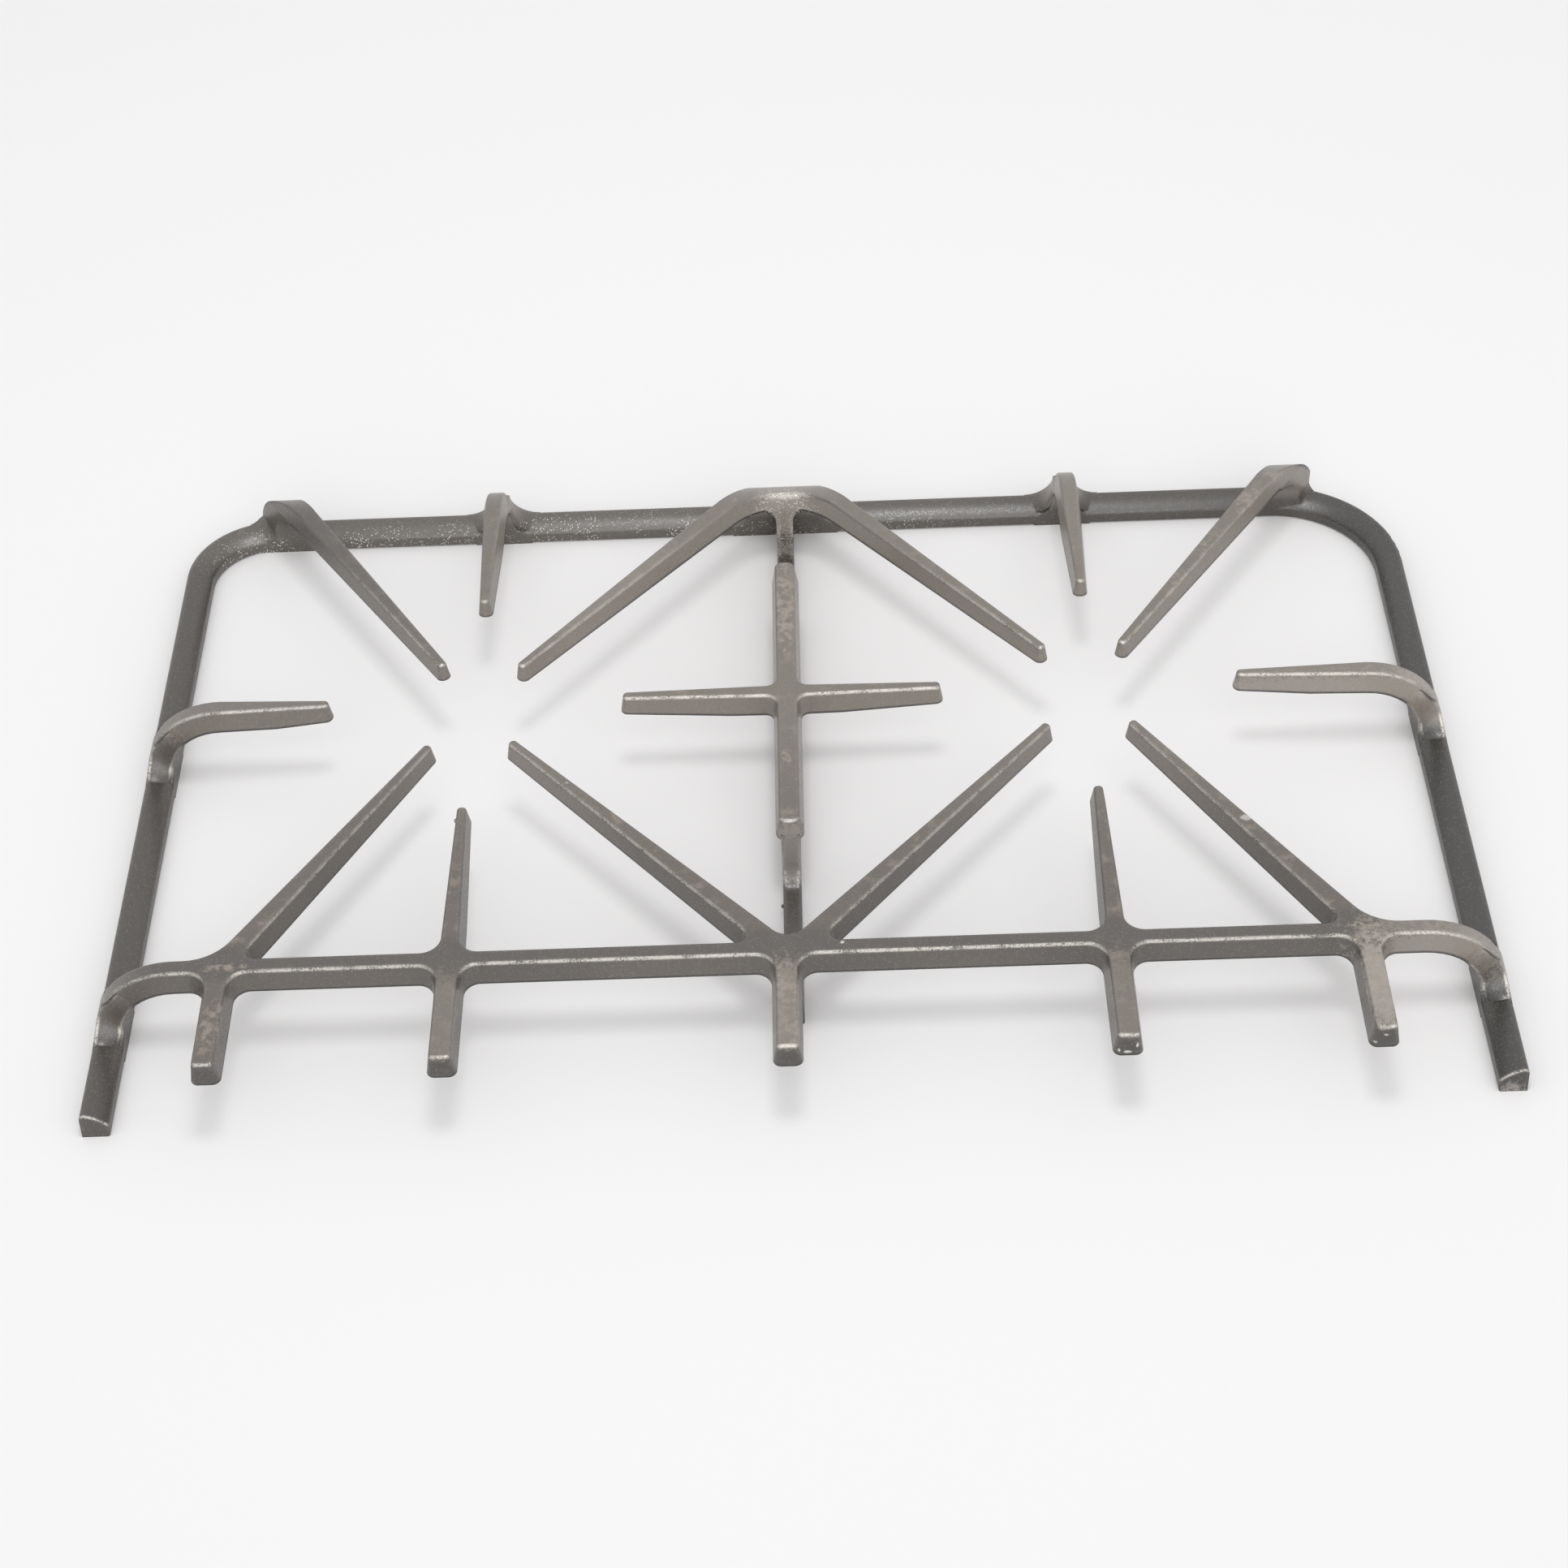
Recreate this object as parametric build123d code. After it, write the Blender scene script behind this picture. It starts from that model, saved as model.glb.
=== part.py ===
from build123d import *
from math import hypot, radians, sin, tan
import os

# Cast pan support for a two-burner hob: one casting with a floor rail, elbows and raised fingers
# Overall frame, in millimetres
LEFT_REACH = 231.5           # centre bar to the outer side of the left rail
RIGHT_REACH = 238.5          # centre bar to the outer side of the right rail
FRAME_DEPTH = 299.8          # front ends of the side rails to the outer side of the back rail
PAN_HEIGHT = 34.5            # floor to the face that carries the pan
STUB_OVERHANG = 1.1          # how far the front stubs reach past the side rails

# Floor rail: outer side tall, crowned top falling to a low inner side
RAIL_WIDTH = 9.4
RAIL_HEIGHT = 8.8
RAIL_INNER_HEIGHT = 4.6
RAIL_CROWN = 0.9
LEFT_CORNER_RADIUS = 31.0
RIGHT_CORNER_RADIUS = 46.0
RAIL_EDGE_RADIUS = 1.4
RAIL_END_SLOPE = 1.8         # how far the top of a rail's front end leans back

# Raised bars: trapezoid section, wide side down
BAR_WIDTH = 8.6              # front bar
STUB_WIDTH = 9.8
BAR_HEIGHT = 8.5
DRAFT_ANGLE = 9.5
DRAFT_NUDGES = (0.0, 0.1, -0.1, 0.2, -0.2, 0.3, -0.3)  # small changes tried until a drafted bar closes
EDGE_RADIUS = 1.0
ELBOW_RADIUS = 30.0          # outer radius where a raised bar turns down to the rail
APEX_ELBOW_RADIUS = 34.0     # the same at the back V
FRONT_BAR_FROM_BACK = 257.6  # outer side of the back rail to the centre line of the front bar

# Burners and their fingers, all radial
BURNER_SPACING = 219.0
BURNER_FROM_BACK = 135.3
LEFT_NODE_INSET = 45.0       # outer side of the left rail to the left outer stub
RIGHT_NODE_INSET = 49.0
LEFT_CORNER_INSET = 35.5     # outer side of the left rail to the left outer diagonal on the back rail
RIGHT_CORNER_INSET = 37.5
BACK_TIP_RADIUS = 21.8       # tips of the diagonals that come from the back
FRONT_TIP_RADIUS = 24.6      # tips of the diagonals that come from the front bar
STRAIGHT_TIP_RADIUS = 51.6
DIAGONAL_TIP_WIDTH = 5.7
DIAGONAL_ROOT_WIDTH = 10.2
STRAIGHT_TIP_WIDTH = 5.8
STRAIGHT_ROOT_WIDTH = 9.0
TIP_RADIUS = 2.7
TIP_RELIEF = 1.8             # how far the underside of a finger rises towards its tip
RELIEF_GAP = 20.0            # flat stretch of underside that is left at the root
COMB_SHIFT = -1.3            # how far the front fingers sit to the right of the burners
SIDE_FINGER_SHIFT = 1.2      # how far the side fingers sit behind the burners' line
VEE_DROP = 2.6               # where the front V meets, in front of the front bar's centre line
VEE_AIM = (2.6, -2.4)        # where each arm of the front V points, outward and back from its burner
RIGHT_BACK_SHIFT = 1.8       # how far the right back finger sits outside its burner's centre line

# Cast fillets, in plan and at the feet
NODE_RADIUS = 5.5
ACUTE_RADIUS = 2.0
WEB_RADIUS = 16.0
CROTCH_RADIUS = 8.5
APEX_WEB_RADIUS = 24.0
FOOT_RADIUS = 6.5
FOOT_SINK = 0.4              # how far inside a slanted leg the flare of its foot starts
APEX_FOOT_WIDTH = 28.0

# Low centre bar and the raised cross that stands on it
SPINE_X = 2.0                # how far the centre bar sits to the right of the front stubs' middle
SPINE_WIDTH = 6.4
SPINE_HEIGHT = 7.0
SPINE_EDGE_RADIUS = 1.0
CROSS_ARM_WIDTH = 9.8        # arm along the centre bar
CROSS_BACK_REACH = 71.0      # from the burners' line to the back end of that arm
CROSS_FRONT_REACH = 66.5
CROSS_BEAM_WIDTH = 8.4       # beam that points at both burners, at its middle
CROSS_TIP_WIDTH = 6.2
CROSS_LEG_LENGTH = 8.5
CROSS_CORNER_RADIUS = 3.0
CROSS_END_RADIUS = 4.0
FUNNEL_RADIUS = 8.0
FUNNEL_REACH = 11.2          # from the inner side of the back rail to the front of the web
EMBED = 2.0                  # how deep a piece of the casting runs into the next one

# Places that follow from the sizes above
REACH = {-1: LEFT_REACH, 1: RIGHT_REACH}
OUTER_NODE = {-1: LEFT_REACH - LEFT_NODE_INSET, 1: RIGHT_REACH - RIGHT_NODE_INSET}
FRAME_WIDTH = LEFT_REACH + RIGHT_REACH
CENTRE_X = (LEFT_REACH - RIGHT_REACH) / 2
BACK_Y = (FRAME_DEPTH + STUB_OVERHANG) / 2
RAIL_FRONT_Y = BACK_Y - FRAME_DEPTH
STUB_END_Y = RAIL_FRONT_Y - STUB_OVERHANG
FRONT_BAR_Y = BACK_Y - FRONT_BAR_FROM_BACK
BURNER_X = BURNER_SPACING / 2
BURNER_Y = BACK_Y - BURNER_FROM_BACK
BAR_FLOOR = PAN_HEIGHT - BAR_HEIGHT
ELBOW_AXIS_Z = PAN_HEIGHT - ELBOW_RADIUS
SIDE_FINGER_Y = BURNER_Y + SIDE_FINGER_SHIFT
DRAFT_INSET = BAR_HEIGHT * tan(radians(DRAFT_ANGLE))
RAIL_MID = RAIL_WIDTH / 2
DIAGONAL_WIDTHS = (DIAGONAL_TIP_WIDTH, DIAGONAL_ROOT_WIDTH)
STRAIGHT_WIDTHS = (STRAIGHT_TIP_WIDTH, STRAIGHT_ROOT_WIDTH)
SIDES = (-1, 1)


def tapered_bar(start, end, start_width, end_width):
    """Plan outline of a straight bar between two points."""
    span = hypot(end[0] - start[0], end[1] - start[1])
    across = (-(end[1] - start[1]) / span, (end[0] - start[0]) / span)
    corners = []
    for point, width, side in ((start, start_width, -1), (end, end_width, -1),
                               (end, end_width, 1), (start, start_width, 1)):
        reach = side * width / 2
        corners.append((point[0] + across[0] * reach, point[1] + across[1] * reach))
    return make_face(Polyline(*corners, close=True))


def beyond(start, end, length):
    """Point on the line from start to end, moved past the end by a length."""
    span = hypot(end[0] - start[0], end[1] - start[1])
    share = (span + length) / span
    return (start[0] + (end[0] - start[0]) * share, start[1] + (end[1] - start[1]) * share)


def finger(burner, root, tip_radius, widths, extra=0.0):
    """Plan outline of a radial finger that widens from its tip to its root."""
    span = hypot(root[0] - burner[0], root[1] - burner[1])
    tip = beyond(root, burner, -tip_radius)
    slope = (widths[1] - widths[0]) / (span - tip_radius)
    return tapered_bar(tip, beyond(burner, root, extra), widths[0], widths[1] + slope * extra)


def relief(burner, root, tip_radius):
    """Wedge that is cut from a finger's underside, so that the finger thins towards its tip."""
    span = hypot(root[0] - burner[0], root[1] - burner[1])
    heading = ((root[0] - burner[0]) / span, (root[1] - burner[1]) / span, 0)
    side_view = Plane((*burner, BAR_FLOOR), x_dir=heading, z_dir=(heading[1], -heading[0], 0))
    near = tip_radius - EMBED
    far = span - RELIEF_GAP
    wedge = make_face(Polyline((near, -EMBED), (far, -EMBED), (far, 0), (near, TIP_RELIEF), close=True))
    return extrude(side_view * wedge, amount=BAR_WIDTH, both=True)


def corner_turn(plan, vertex):
    """Open angle at a corner of the plan: positive where it is hollow, negative where it sticks out."""
    point = Vector(*tuple(vertex))
    legs = []
    for edge in plan.edges():
        if (edge.position_at(0) - point).length < 1e-5:
            legs.append(edge.tangent_at(0))
        elif (edge.position_at(1) - point).length < 1e-5:
            legs.append(edge.tangent_at(1) * -1)
    if len(legs) != 2:
        return 0.0
    angle = legs[0].get_angle(legs[1])
    if angle > 178:
        return 0.0
    probe = point + (legs[0] + legs[1]).normalized() * 0.02
    inside = any(face.is_inside(probe) for face in plan.faces())
    return -angle if inside else angle


def round_hollows(plan, limits):
    """Rounds the hollow corners of a plan; limits lists (least angle, greatest angle, radius)."""
    for least, greatest, radius in limits:
        chosen = [v for v in plan.vertices() if least <= corner_turn(plan, v) < greatest]
        if chosen:
            plan = fillet(chosen, radius)
    return plan


def round_tips(plan, centre, reach, radius=TIP_RADIUS):
    """Rounds the outward corners of a plan that lie within a reach of a point."""
    chosen = []
    for vertex in plan.vertices():
        place = tuple(vertex)
        near = hypot(place[0] - centre[0], place[1] - centre[1]) < reach
        if near and corner_turn(plan, vertex) < 0:
            chosen.append(vertex)
    return fillet(chosen, radius)


def raise_plan(plan):
    """Drafted bars at pan level over a plan, with their top edges rounded."""
    for nudge in DRAFT_NUDGES:
        bars = extrude(Pos(0, 0, BAR_FLOOR) * plan, amount=BAR_HEIGHT, taper=DRAFT_ANGLE + nudge)
        if bars.is_valid:
            break
    top = bars.faces().sort_by(Axis.Z)[-1]
    return fillet(top.edges(), EDGE_RADIUS)


def bend_down(bars, start, heading):
    """Cuts a raised bar square at a point and turns its end face down into the rail."""
    cut = Plane(origin=(start[0], start[1], 0), z_dir=(heading[0], heading[1], 0))
    bars = split(bars, bisect_by=cut, keep=Keep.BOTTOM)
    ends = [f for f in bars.faces()
            if abs(cut.to_local_coords(f.center()).Z) < 1e-4 and f.normal_at().dot(cut.z_dir) > 0.999]
    turn = Axis((start[0], start[1], ELBOW_AXIS_Z), (-heading[1], heading[0], 0))
    elbow = revolve(ends[0], axis=turn, revolution_arc=90)
    sole = elbow.faces().sort_by(Axis.Z)[0]
    leg = extrude(sole, amount=ELBOW_AXIS_Z - EMBED / 2, dir=(0, 0, -1))
    return bars + elbow + leg


def foot_outline(plane, half_width, rail_top):
    """Bell-mouthed outline of a foot: straight sides that flare into the rail's top."""
    spread = half_width + FOOT_RADIUS
    shoulder = rail_top + FOOT_RADIUS
    crest = shoulder + FOOT_RADIUS
    bend = FOOT_RADIUS * (1 - sin(radians(45)))
    right = [(spread, 0), (spread, rail_top)]
    waist = (half_width + bend, rail_top + bend)
    lines = Polyline((-half_width, crest), (half_width, crest), (half_width, shoulder))
    lines += ThreePointArc((half_width, shoulder), waist, right[1])
    lines += Polyline(right[1], right[0], (-spread, 0), (-spread, rail_top))
    lines += ThreePointArc((-spread, rail_top), (-waist[0], waist[1]), (-half_width, shoulder))
    lines += Line((-half_width, shoulder), (-half_width, crest))
    return plane * make_face(lines)


def foot(inner_centre, outer_centre, outward, half_widths, hollow):
    """Cast fillet under an elbow, flush with both sides of the rail and under the elbow's outer curve."""
    along = (-outward[1], outward[0], 0)
    facing = (outward[0], outward[1], 0)
    inner_plane = Plane((*inner_centre, 0), x_dir=along, z_dir=facing)
    outer_plane = Plane((*outer_centre, 0), x_dir=along, z_dir=facing)
    inner = foot_outline(inner_plane, half_widths[0], RAIL_INNER_HEIGHT)
    outer = foot_outline(outer_plane, half_widths[1], RAIL_HEIGHT)
    return loft([inner, outer], ruled=True) & hollow


def under_elbow(root, heading, radius):
    """Round bar as wide as the frame that fills the outer curve of an elbow."""
    start = (root[0] - heading[0] * radius, root[1] - heading[1] * radius, PAN_HEIGHT - radius)
    hoop = Plane(start, x_dir=(*heading, 0), z_dir=(-heading[1], heading[0], 0))
    return extrude(hoop * Circle(radius), amount=FRAME_WIDTH / 2, both=True)


def rail_section(plane):
    """Rail section; local X runs inward from the outer side, local Y up."""
    crown = (RAIL_MID, (RAIL_HEIGHT + RAIL_INNER_HEIGHT) / 2 + RAIL_CROWN)
    lines = Polyline((0, RAIL_HEIGHT), (0, 0), (RAIL_WIDTH, 0), (RAIL_WIDTH, RAIL_INNER_HEIGHT))
    lines += ThreePointArc((RAIL_WIDTH, RAIL_INNER_HEIGHT), crown, (0, RAIL_HEIGHT))
    section = make_face(lines)
    rounded = [v for v in section.vertices() if v.Y > 1e-3 or v.X > 1e-3]
    return plane * fillet(rounded, RAIL_EDGE_RADIUS)


def rail():
    """U-shaped floor rail with two rounded back corners."""
    left, right = -LEFT_REACH, RIGHT_REACH
    bend, far_bend = LEFT_CORNER_RADIUS, RIGHT_CORNER_RADIUS
    path = Line((left, RAIL_FRONT_Y), (left, BACK_Y - bend))
    path += RadiusArc((left, BACK_Y - bend), (left + bend, BACK_Y), bend)
    path += Line((left + bend, BACK_Y), (right - far_bend, BACK_Y))
    path += RadiusArc((right - far_bend, BACK_Y), (right, BACK_Y - far_bend), far_bend)
    path += Line((right, BACK_Y - far_bend), (right, RAIL_FRONT_Y))
    start = Plane((left, RAIL_FRONT_Y, 0), x_dir=(1, 0, 0), z_dir=(0, -1, 0))
    lean = make_face(Polyline((RAIL_FRONT_Y, 0), (RAIL_FRONT_Y + 2 * RAIL_END_SLOPE, 2 * RAIL_HEIGHT),
                              (RAIL_FRONT_Y - EMBED, 2 * RAIL_HEIGHT), (RAIL_FRONT_Y - EMBED, 0), close=True))
    return sweep(rail_section(start), path) - extrude(Plane.YZ * lean, amount=FRAME_WIDTH, both=True)


def outline_prism(reach, corner_radius):
    """Everything inside the rail's outer outline, used to trim the elbows flush."""
    plan = Rectangle(2 * reach, BACK_Y - STUB_END_Y)
    back = plan.vertices().group_by(Axis.Y)[-1]
    return extrude(fillet(back, corner_radius), amount=PAN_HEIGHT)


def front_fingers():
    """Burner, root, tip radius and widths of each finger on the front bar."""
    fingers = []
    for side in SIDES:
        burner = (side * BURNER_X + COMB_SHIFT, BURNER_Y)
        fingers.append((burner, (side * OUTER_NODE[side], FRONT_BAR_Y), FRONT_TIP_RADIUS, DIAGONAL_WIDTHS))
        aim = (burner[0] + side * VEE_AIM[0], burner[1] + VEE_AIM[1])
        fingers.append((aim, (SPINE_X / 2, FRONT_BAR_Y - VEE_DROP), FRONT_TIP_RADIUS, DIAGONAL_WIDTHS))
        fingers.append((burner, (burner[0], FRONT_BAR_Y), STRAIGHT_TIP_RADIUS, STRAIGHT_WIDTHS))
    return fingers


def front_comb():
    """Front bar with its stubs, outer diagonals, short fingers and centre V, bent down at both ends."""
    ends = [side * (REACH[side] - ELBOW_RADIUS) for side in SIDES]
    plan = tapered_bar((ends[0] - NODE_RADIUS, FRONT_BAR_Y), (ends[1] + NODE_RADIUS, FRONT_BAR_Y),
                       BAR_WIDTH, BAR_WIDTH)
    stubs = (-OUTER_NODE[-1], COMB_SHIFT - BURNER_X, 0, COMB_SHIFT + BURNER_X, OUTER_NODE[1])
    for stub_x in stubs:
        plan += tapered_bar((stub_x, FRONT_BAR_Y), (stub_x, STUB_END_Y), STUB_WIDTH, STUB_WIDTH)
    wedges = []
    for burner, root, tip_radius, widths in front_fingers():
        plan += finger(burner, root, tip_radius, widths, root[1] - FRONT_BAR_Y)
        wedges.append(relief(burner, root, tip_radius))
    plan = round_hollows(plan, ((20, 70, ACUTE_RADIUS), (86, 95, NODE_RADIUS), (70, 86, CROTCH_RADIUS),
                                (95, 178, WEB_RADIUS)))
    for side in SIDES:
        plan = round_tips(plan, (side * BURNER_X + COMB_SHIFT, BURNER_Y), STRAIGHT_TIP_RADIUS + BAR_WIDTH)
    for stub_x in stubs:
        plan = round_tips(plan, (stub_x, STUB_END_Y), STUB_WIDTH)
    comb = raise_plan(plan) - wedges
    for side, end in zip(SIDES, ends):
        comb = bend_down(comb, (end, FRONT_BAR_Y), (side, 0))
        comb += side_foot(side, REACH[side], FRONT_BAR_Y, BAR_WIDTH / 2)
    return comb


def side_foot(side, reach, place_y, half_width):
    """Foot of an elbow that lands square on a side rail."""
    outer = (side * reach, place_y)
    inner = (side * (reach - RAIL_WIDTH), place_y)
    halves = (half_width, half_width - DRAFT_INSET)
    return foot(inner, outer, (side, 0), halves, under_elbow(outer, (side, 0), ELBOW_RADIUS))


def elbow_finger(burner, root, tip_radius, widths):
    """Raised finger that bends down at its root; the root is the outermost point of the elbow."""
    span = hypot(root[0] - burner[0], root[1] - burner[1])
    heading = ((root[0] - burner[0]) / span, (root[1] - burner[1]) / span)
    start = (root[0] - heading[0] * ELBOW_RADIUS, root[1] - heading[1] * ELBOW_RADIUS)
    plan = finger(burner, start, tip_radius, widths, NODE_RADIUS)
    plan = round_tips(plan, burner, tip_radius + widths[0])
    return bend_down(raise_plan(plan) - relief(burner, start, tip_radius), start, heading)


def side_finger(reach):
    """Finger from the left rail."""
    burner = (-BURNER_X, SIDE_FINGER_Y)
    bar = elbow_finger(burner, (-reach, SIDE_FINGER_Y), STRAIGHT_TIP_RADIUS, STRAIGHT_WIDTHS)
    return bar + side_foot(-1, reach, SIDE_FINGER_Y, STRAIGHT_ROOT_WIDTH / 2)


def back_finger(shift):
    """Straight finger from the back rail to the left burner."""
    place_x = -BURNER_X - shift
    bar = elbow_finger((place_x, BURNER_Y), (place_x, BACK_Y), STRAIGHT_TIP_RADIUS, STRAIGHT_WIDTHS)
    return bar + back_foot(place_x, place_x, STRAIGHT_ROOT_WIDTH / 2, DRAFT_INSET, ELBOW_RADIUS)


def back_foot(inner_x, outer_x, half_width, inset, elbow_radius):
    """Foot of an elbow that lands on the back rail."""
    outer = (outer_x, BACK_Y)
    halves = (half_width, half_width - inset)
    hollow = under_elbow(outer, (0, 1), elbow_radius)
    return foot((inner_x, BACK_Y - RAIL_WIDTH), outer, (0, 1), halves, hollow)


def corner_finger(reach, corner_inset, corner_radius):
    """Outer diagonal from the back rail to the left burner, trimmed flush with the rail's outer side."""
    burner = (-BURNER_X, BURNER_Y)
    landing = (corner_inset - reach, BACK_Y - RAIL_MID)
    lean = (landing[0] - burner[0]) / (landing[1] - burner[1])
    plan = finger(burner, landing, BACK_TIP_RADIUS, DIAGONAL_WIDTHS, RAIL_WIDTH)
    plan = round_tips(plan, burner, BACK_TIP_RADIUS + DIAGONAL_TIP_WIDTH)
    bar = bend_back(plan, ELBOW_RADIUS) - relief(burner, landing, BACK_TIP_RADIUS)
    half_width = DIAGONAL_ROOT_WIDTH / 2 * hypot(1, lean) - FOOT_SINK
    step = lean * RAIL_MID
    bar += back_foot(landing[0] - step, landing[0] + step, half_width, 0, ELBOW_RADIUS)
    return bar & outline_prism(reach, corner_radius)


def left_fingers(reach, back_shift, corner_inset, corner_radius):
    """The three fingers that rise from the rail to the left burner."""
    return [side_finger(reach), back_finger(back_shift), corner_finger(reach, corner_inset, corner_radius)]


def back_bend(radius):
    """Side view of a bar that runs back at pan level and turns down into the back rail."""
    start_y = BACK_Y - radius
    axis_z = PAN_HEIGHT - radius
    inner_radius = radius - BAR_HEIGHT
    inner_y = start_y + inner_radius
    turn = sin(radians(45))
    lines = Polyline((start_y, BAR_FLOOR), (BURNER_Y, BAR_FLOOR),
                     (BURNER_Y, PAN_HEIGHT), (start_y, PAN_HEIGHT))
    lines += ThreePointArc((start_y, PAN_HEIGHT), (start_y + radius * turn, axis_z + radius * turn),
                           (BACK_Y, axis_z))
    lines += Polyline((BACK_Y, axis_z), (BACK_Y, -EMBED), (inner_y, -EMBED), (inner_y, axis_z))
    lines += ThreePointArc((inner_y, axis_z), (start_y + inner_radius * turn, axis_z + inner_radius * turn),
                           (start_y, BAR_FLOOR))
    return Plane.YZ * make_face(lines)


def bend_back(plan, radius):
    """Bars over a plan that turn down together along the back rail."""
    floor = EMBED / 2
    solid = raise_plan(plan) + extrude(Pos(0, 0, floor) * plan, amount=BAR_FLOOR - floor)
    return solid & extrude(back_bend(radius), amount=FRAME_WIDTH / 2, both=True)


def back_vee():
    """Two inner diagonals that meet in a rounded apex over the back rail."""
    apex = (SPINE_X, BACK_Y - RAIL_MID)
    half = APEX_FOOT_WIDTH / 2
    block = [(SPINE_X + half, BACK_Y), (SPINE_X - half, BACK_Y)]
    for side in SIDES:
        lean = (apex[1] - BURNER_Y) / (BURNER_X - side * SPINE_X)
        block.append((SPINE_X + side * half, apex[1] - half * lean))
    block.insert(3, apex)
    plan = make_face(Polyline(*block, close=True))
    wedges = []
    for side in SIDES:
        plan += finger((side * BURNER_X, BURNER_Y), apex, BACK_TIP_RADIUS, DIAGONAL_WIDTHS)
        wedges.append(relief((side * BURNER_X, BURNER_Y), apex, BACK_TIP_RADIUS))
    plan = round_hollows(plan, ((60, 95, APEX_WEB_RADIUS), (95, 178, NODE_RADIUS)))
    for side in SIDES:
        plan = round_tips(plan, (side * BURNER_X, BURNER_Y), STRAIGHT_TIP_RADIUS)
    vee = bend_back(plan, APEX_ELBOW_RADIUS) - wedges
    vee += back_foot(SPINE_X, SPINE_X, half, 0, APEX_ELBOW_RADIUS)
    return vee + funnel()


def funnel():
    """Web under the apex that narrows down to the low centre bar."""
    half = SPINE_WIDTH / 2
    wide = half + FUNNEL_RADIUS
    crest = BAR_FLOOR + EMBED / 2
    neck = crest - FUNNEL_RADIUS
    bend = FUNNEL_RADIUS * (1 - sin(radians(45)))
    lines = Polyline((-half, neck), (-half, 0), (half, 0), (half, neck))
    lines += ThreePointArc((half, neck), (half + bend, crest - bend), (wide, crest))
    lines += Line((wide, crest), (-wide, crest))
    lines += ThreePointArc((-wide, crest), (-half - bend, crest - bend), (-half, neck))
    front = BACK_Y - RAIL_WIDTH - FUNNEL_REACH
    face = Plane((SPINE_X, front, 0), x_dir=(1, 0, 0), z_dir=(0, -1, 0)) * make_face(lines)
    web = extrude(face, amount=-(FUNNEL_REACH + RAIL_MID))
    return web & under_elbow((SPINE_X, BACK_Y), (0, 1), APEX_ELBOW_RADIUS)


def cross():
    """Raised cross between the burners: a beam with two free tips on an arm with two legs."""
    back = BURNER_Y + CROSS_BACK_REACH
    front = BURNER_Y - CROSS_FRONT_REACH
    tip_x = BURNER_X - STRAIGHT_TIP_RADIUS
    plan = tapered_bar((SPINE_X, front), (SPINE_X, back), CROSS_ARM_WIDTH, CROSS_ARM_WIDTH)
    for side in SIDES:
        plan += tapered_bar((SPINE_X, BURNER_Y), (side * tip_x, BURNER_Y), CROSS_BEAM_WIDTH, CROSS_TIP_WIDTH)
    plan = round_hollows(plan, ((60, 120, CROSS_CORNER_RADIUS),))
    for side in SIDES:
        plan = round_tips(plan, (side * tip_x, BURNER_Y), CROSS_BEAM_WIDTH)
    for end in (front, back):
        plan = round_tips(plan, (SPINE_X, end), CROSS_ARM_WIDTH, CROSS_END_RADIUS)
    wedges = [relief((side * BURNER_X, BURNER_Y), (SPINE_X, BURNER_Y), STRAIGHT_TIP_RADIUS) for side in SIDES]
    return raise_plan(plan) - wedges


def spine():
    """Low centre bar with the legs that carry the cross and the leg up to the front bar."""
    leg = CROSS_LEG_LENGTH
    base_front = FRONT_BAR_Y - leg / 2
    base_back = BACK_Y - RAIL_MID
    base = Rectangle(base_back - base_front, SPINE_HEIGHT)
    side_view = Pos((base_front + base_back) / 2, SPINE_HEIGHT / 2) * base
    height = BAR_FLOOR + EMBED
    front_leg = BURNER_Y - CROSS_FRONT_REACH + leg / 2
    back_leg = BURNER_Y + CROSS_BACK_REACH - leg / 2
    for place in (FRONT_BAR_Y, front_leg, back_leg):
        side_view += Pos(place, height / 2) * Rectangle(leg, height)
    side_view = round_hollows(side_view, ((80, 100, FOOT_RADIUS),))
    bar = extrude(Plane.YZ.offset(SPINE_X) * side_view, amount=SPINE_WIDTH / 2, both=True)
    sides = bar.faces().filter_by(Axis.X)
    rims = [e for e in sides.edges() if 1.0 < e.center().Z < height - 1.0]
    return fillet(rims, SPINE_EDGE_RADIUS)


def pan_support():
    """The whole casting, as one solid centred on its footprint."""
    casting = rail() + front_comb() + back_vee() + spine() + cross()
    for piece in left_fingers(LEFT_REACH, 0.0, LEFT_CORNER_INSET, LEFT_CORNER_RADIUS):
        casting += piece
    for piece in left_fingers(RIGHT_REACH, RIGHT_BACK_SHIFT, RIGHT_CORNER_INSET, RIGHT_CORNER_RADIUS):
        casting += mirror(piece, about=Plane.YZ)
    return Pos(CENTRE_X, 0, 0) * casting


if __name__ == "__main__":
    os.makedirs("parts", exist_ok=True)
    export_step(pan_support(), "parts/pan_support.step")
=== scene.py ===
"""Looks of a cast hob pan support: its finish, its smallest cast forms, the studio and the camera."""

import logging
import math
from dataclasses import dataclass, field
from enum import Enum
from typing import Any

import bmesh
import bpy
from mathutils import Matrix, Vector


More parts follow.
